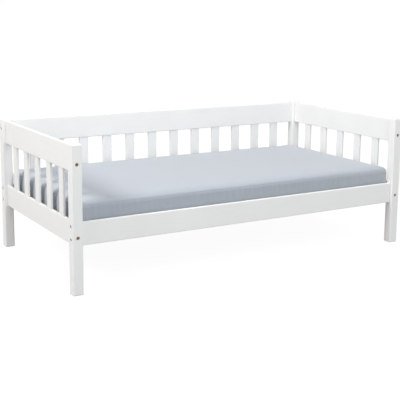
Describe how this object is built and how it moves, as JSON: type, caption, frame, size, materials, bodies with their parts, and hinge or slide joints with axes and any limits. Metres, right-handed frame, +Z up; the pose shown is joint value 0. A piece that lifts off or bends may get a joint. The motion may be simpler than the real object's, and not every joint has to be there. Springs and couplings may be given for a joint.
{
  "type": "toddler bed",
  "caption": "White wooden toddler bed with square posts, slatted back and ends, an open front with a low rail, and a loose foam mattress on a roll-out slatted base.",
  "frame": {"origin": "on the floor, under the middle of the bed", "axes": "+X along the bed towards its right end as seen from the open front, +Y towards the slatted back, +Z up"},
  "size_m": [1.48, 0.757, 0.531],
  "materials": {
    "post_paint": "satin",
    "rail_paint": "satin",
    "slat_paint": "satin",
    "bolt_bronze": "satin",
    "bare_pine": "matte",
    "screw_zinc": "satin",
    "mattress_cover": "matte"
  },
  "bodies": {
    "bed_frame": {"post_front_left": "post_paint", "post_front_right": "post_paint", "post_back_left": "post_paint", "post_back_right": "post_paint", "front_rail": "rail_paint", "back_top_rail": "rail_paint", "back_lower_rail": "rail_paint", "left_top_rail": "rail_paint", "left_lower_rail": "rail_paint", "right_top_rail": "rail_paint", "right_lower_rail": "rail_paint", "back_slat_01": "slat_paint", "back_slat_02": "slat_paint", "back_slat_03": "slat_paint", "back_slat_04": "slat_paint", "back_slat_05": "slat_paint", "back_slat_06": "slat_paint", "back_slat_07": "slat_paint", "back_slat_08": "slat_paint", "back_slat_09": "slat_paint", "back_slat_10": "slat_paint", "back_slat_11": "slat_paint", "back_slat_12": "slat_paint", "left_slat_1": "slat_paint", "left_slat_2": "slat_paint", "left_slat_3": "slat_paint", "left_slat_4": "slat_paint", "left_slat_5": "slat_paint", "right_slat_1": "slat_paint", "right_slat_2": "slat_paint", "right_slat_3": "slat_paint", "right_slat_4": "slat_paint", "right_slat_5": "slat_paint", "ledger_front": "bare_pine", "ledger_back": "bare_pine", "roll_out_slat_base": "bare_pine", "ledger_screw_front_left": "screw_zinc", "ledger_screw_front_right": "screw_zinc", "ledger_screw_back_left": "screw_zinc", "ledger_screw_back_right": "screw_zinc", "bolt_front_rail_left_upper": "bolt_bronze", "bolt_front_rail_left_lower": "bolt_bronze", "bolt_front_rail_right_upper": "bolt_bronze", "bolt_front_rail_right_lower": "bolt_bronze", "bolt_back_lower_rail_left_upper": "bolt_bronze", "bolt_back_lower_rail_left_lower": "bolt_bronze", "bolt_back_lower_rail_right_upper": "bolt_bronze", "bolt_back_lower_rail_right_lower": "bolt_bronze", "bolt_back_top_rail_left": "bolt_bronze", "bolt_back_top_rail_right": "bolt_bronze", "bolt_left_top_rail_front": "bolt_bronze", "bolt_left_top_rail_back": "bolt_bronze", "bolt_left_lower_rail_front": "bolt_bronze", "bolt_left_lower_rail_back": "bolt_bronze", "bolt_right_top_rail_front": "bolt_bronze", "bolt_right_top_rail_back": "bolt_bronze", "bolt_right_lower_rail_front": "bolt_bronze", "bolt_right_lower_rail_back": "bolt_bronze"},
    "mattress": {"mattress": "mattress_cover"}
  },
  "joints": [
    {"name": "mattress_lift", "type": "slide", "parent": "bed_frame", "child": "mattress", "axis": [0, 0, 1], "range_m": [0, 0.34]}
  ]
}
